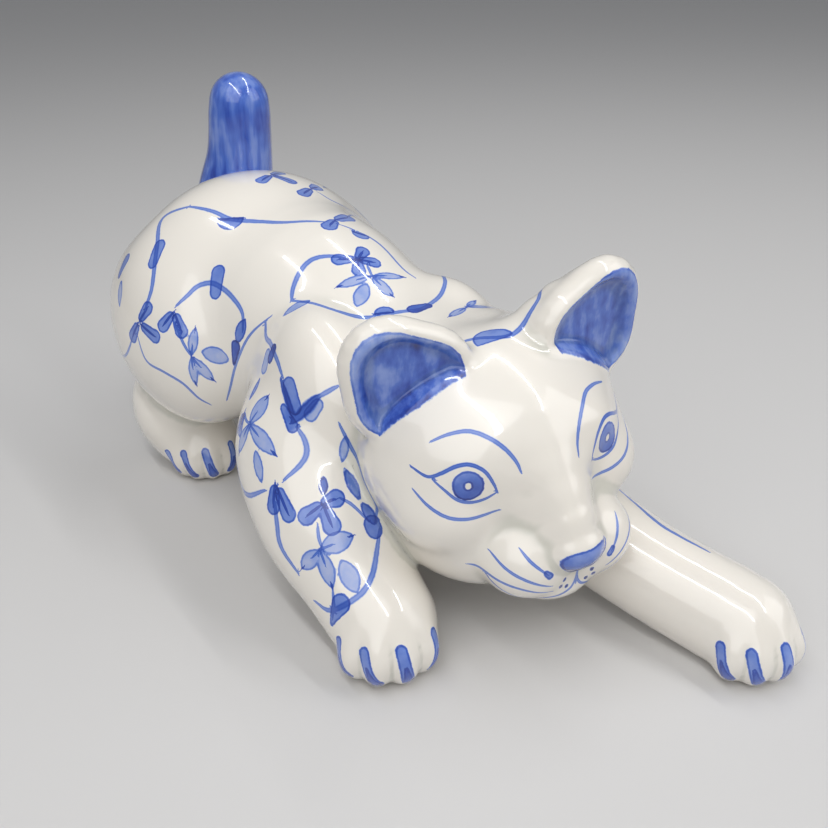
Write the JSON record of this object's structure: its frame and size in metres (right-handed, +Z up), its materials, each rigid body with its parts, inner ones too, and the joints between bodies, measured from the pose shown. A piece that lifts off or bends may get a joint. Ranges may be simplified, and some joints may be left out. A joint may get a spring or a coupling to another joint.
{
  "type": "ceramic cat figurine",
  "caption": "Hollow porcelain cat in a stalking crouch, one forepaw stretched out, tail up, with painted cobalt blue vines, face, ears and claws.",
  "frame": {"origin": "on the shelf, under the middle of the whole cat's box", "axes": "+Z up, the cat faces -Y, its left side is +X"},
  "size_m": [0.1346, 0.2647, 0.1454],
  "materials": {
    "painted_porcelain": "clear glossy glaze over white porcelain with underglaze cobalt brushwork",
    "cobalt_tail": "clear glossy glaze over streaky brushed cobalt"
  },
  "bodies": {
    "root": {"body_shell": "painted_porcelain", "head_shell": "painted_porcelain", "right_ear": "painted_porcelain", "left_ear": "painted_porcelain", "right_foreleg": "painted_porcelain", "left_foreleg": "painted_porcelain", "right_hind_leg": "painted_porcelain", "left_hind_leg": "painted_porcelain", "tail": "cobalt_tail"}
  },
  "joints": []
}
